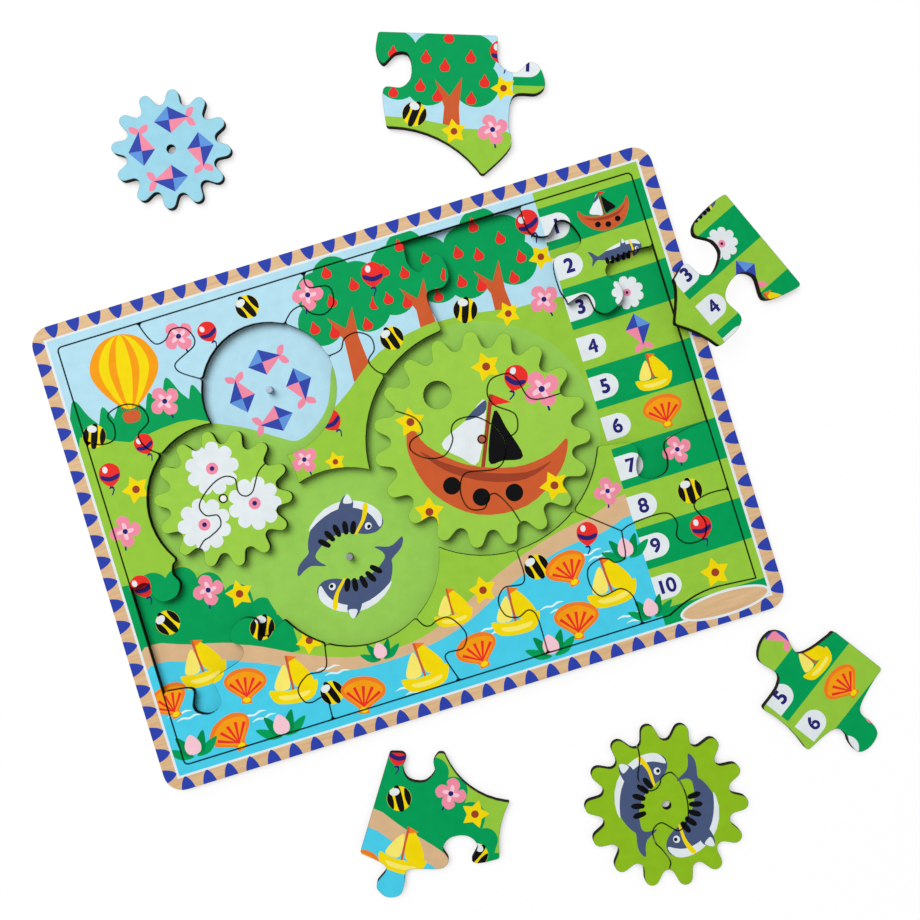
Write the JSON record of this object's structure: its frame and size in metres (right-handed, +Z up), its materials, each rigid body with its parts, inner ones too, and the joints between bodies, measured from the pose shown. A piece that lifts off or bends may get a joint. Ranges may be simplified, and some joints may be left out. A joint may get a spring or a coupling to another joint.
{
  "type": "jigsaw tray puzzle with turning gears",
  "caption": "Framed wooden tray jigsaw whose round wells hold toothed puzzle gears that turn on short pegs, with some pieces lying loose beside it.",
  "frame": {"origin": "middle of the tray's underside", "axes": "+X along the tray's long side towards the numbered strips, +Y along its short side, +Z up out of the tray"},
  "size_m": [0.4681, 0.5687, 0.0178],
  "materials": {
    "bare_plywood": "satin, printed with blue scallops",
    "printed_plywood": "satin print",
    "sky_print": "satin print",
    "meadow_print": "satin print",
    "hedge_print": "satin print",
    "pond_print": "satin print",
    "gear_print": "satin print",
    "pale_gear_print": "satin print",
    "white_paint": "satin paint",
    "rust_paint": "satin paint",
    "grey_paint": "satin paint",
    "blue_paint": "satin paint"
  },
  "bodies": {
    "tray": {"tray_base": "printed_plywood", "tray_frame": "bare_plywood", "peg_small": "blue_paint", "peg_left": "white_paint", "peg_lower": "grey_paint", "peg_main": "rust_paint"},
    "left_gear": {"gear_left_hub": "gear_print"},
    "left_gear_rim": {"gear_left_rim": "gear_print"},
    "main_gear": {"gear_main_hub": "gear_print"},
    "main_gear_finger": {"gear_main_finger": "gear_print"},
    "main_gear_side": {"gear_main_side": "gear_print"},
    "small_gear": {"gear_small": "pale_gear_print"},
    "lower_gear": {"gear_lower_hub": "gear_print"},
    "lower_gear_rim": {"gear_lower_rim": "gear_print"},
    "corner_top_left": {"panel_corner_top_left": "sky_print"},
    "top_left": {"panel_top_left": "sky_print"},
    "top_middle": {"panel_top_middle": "hedge_print"},
    "top_arch": {"panel_top_arch": "hedge_print"},
    "strips_1_2": {"panel_strips_1_2": "meadow_print"},
    "strips_3_4": {"panel_strips_3_4": "meadow_print"},
    "strips_5_6": {"panel_strips_5_6": "meadow_print"},
    "strips_7_8": {"panel_strips_7_8": "meadow_print"},
    "strips_9_10": {"panel_strips_9_10": "meadow_print"},
    "bottom_right": {"panel_bottom_right": "pond_print"},
    "bottom_middle": {"panel_bottom_middle": "pond_print"},
    "bottom_left": {"panel_bottom_left": "pond_print"},
    "corner_bottom_left": {"panel_corner_bottom_left": "pond_print"},
    "left_edge": {"panel_left_edge": "meadow_print"},
    "left_bank": {"panel_left_bank": "hedge_print"},
    "centre": {"panel_centre": "meadow_print"}
  },
  "joints": [
    {"name": "spin_left_gear", "type": "hinge", "parent": "tray", "child": "left_gear", "pos_m": [-0.11505, 0.01563, 0.0063], "axis": [0, 0, 1], "continuous": true},
    {"name": "spin_main_gear", "type": "hinge", "parent": "tray", "child": "main_gear", "pos_m": [0.04895, 0.00361, 0.0063], "axis": [0, 0, 1], "continuous": true},
    {"name": "lift_left_gear_rim", "type": "slide", "parent": "left_gear", "child": "left_gear_rim", "axis": [0, 0, 1], "range_m": [0, 0.015]},
    {"name": "lift_main_gear_finger", "type": "slide", "parent": "main_gear", "child": "main_gear_finger", "axis": [0, 0, 1], "range_m": [0, 0.015]},
    {"name": "lift_main_gear_side", "type": "slide", "parent": "main_gear", "child": "main_gear_side", "axis": [0, 0, 1], "range_m": [0, 0.015]},
    {"name": "lift_small_gear", "type": "slide", "parent": "tray", "child": "small_gear", "axis": [0, 0, 1], "range_m": [0, 0.015]},
    {"name": "lift_lower_gear", "type": "slide", "parent": "tray", "child": "lower_gear", "axis": [0, 0, 1], "range_m": [0, 0.015]},
    {"name": "lift_lower_gear_rim", "type": "slide", "parent": "lower_gear", "child": "lower_gear_rim", "axis": [0, 0, 1], "range_m": [0, 0.015]},
    {"name": "lift_corner_top_left", "type": "slide", "parent": "tray", "child": "corner_top_left", "axis": [0, 0, 1], "range_m": [0, 0.015]},
    {"name": "lift_top_left", "type": "slide", "parent": "tray", "child": "top_left", "axis": [0, 0, 1], "range_m": [0, 0.015]},
    {"name": "lift_top_middle", "type": "slide", "parent": "tray", "child": "top_middle", "axis": [0, 0, 1], "range_m": [0, 0.015]},
    {"name": "lift_top_arch", "type": "slide", "parent": "tray", "child": "top_arch", "axis": [0, 0, 1], "range_m": [0, 0.015]},
    {"name": "lift_strips_1_2", "type": "slide", "parent": "tray", "child": "strips_1_2", "axis": [0, 0, 1], "range_m": [0, 0.015]},
    {"name": "lift_strips_3_4", "type": "slide", "parent": "tray", "child": "strips_3_4", "axis": [0, 0, 1], "range_m": [0, 0.015]},
    {"name": "lift_strips_5_6", "type": "slide", "parent": "tray", "child": "strips_5_6", "axis": [0, 0, 1], "range_m": [0, 0.015]},
    {"name": "lift_strips_7_8", "type": "slide", "parent": "tray", "child": "strips_7_8", "axis": [0, 0, 1], "range_m": [0, 0.015]},
    {"name": "lift_strips_9_10", "type": "slide", "parent": "tray", "child": "strips_9_10", "axis": [0, 0, 1], "range_m": [0, 0.015]},
    {"name": "lift_bottom_right", "type": "slide", "parent": "tray", "child": "bottom_right", "axis": [0, 0, 1], "range_m": [0, 0.015]},
    {"name": "lift_bottom_middle", "type": "slide", "parent": "tray", "child": "bottom_middle", "axis": [0, 0, 1], "range_m": [0, 0.015]},
    {"name": "lift_bottom_left", "type": "slide", "parent": "tray", "child": "bottom_left", "axis": [0, 0, 1], "range_m": [0, 0.015]},
    {"name": "lift_corner_bottom_left", "type": "slide", "parent": "tray", "child": "corner_bottom_left", "axis": [0, 0, 1], "range_m": [0, 0.015]},
    {"name": "lift_left_edge", "type": "slide", "parent": "tray", "child": "left_edge", "axis": [0, 0, 1], "range_m": [0, 0.015]},
    {"name": "lift_left_bank", "type": "slide", "parent": "tray", "child": "left_bank", "axis": [0, 0, 1], "range_m": [0, 0.015]},
    {"name": "lift_centre", "type": "slide", "parent": "tray", "child": "centre", "axis": [0, 0, 1], "range_m": [0, 0.015]}
  ]
}
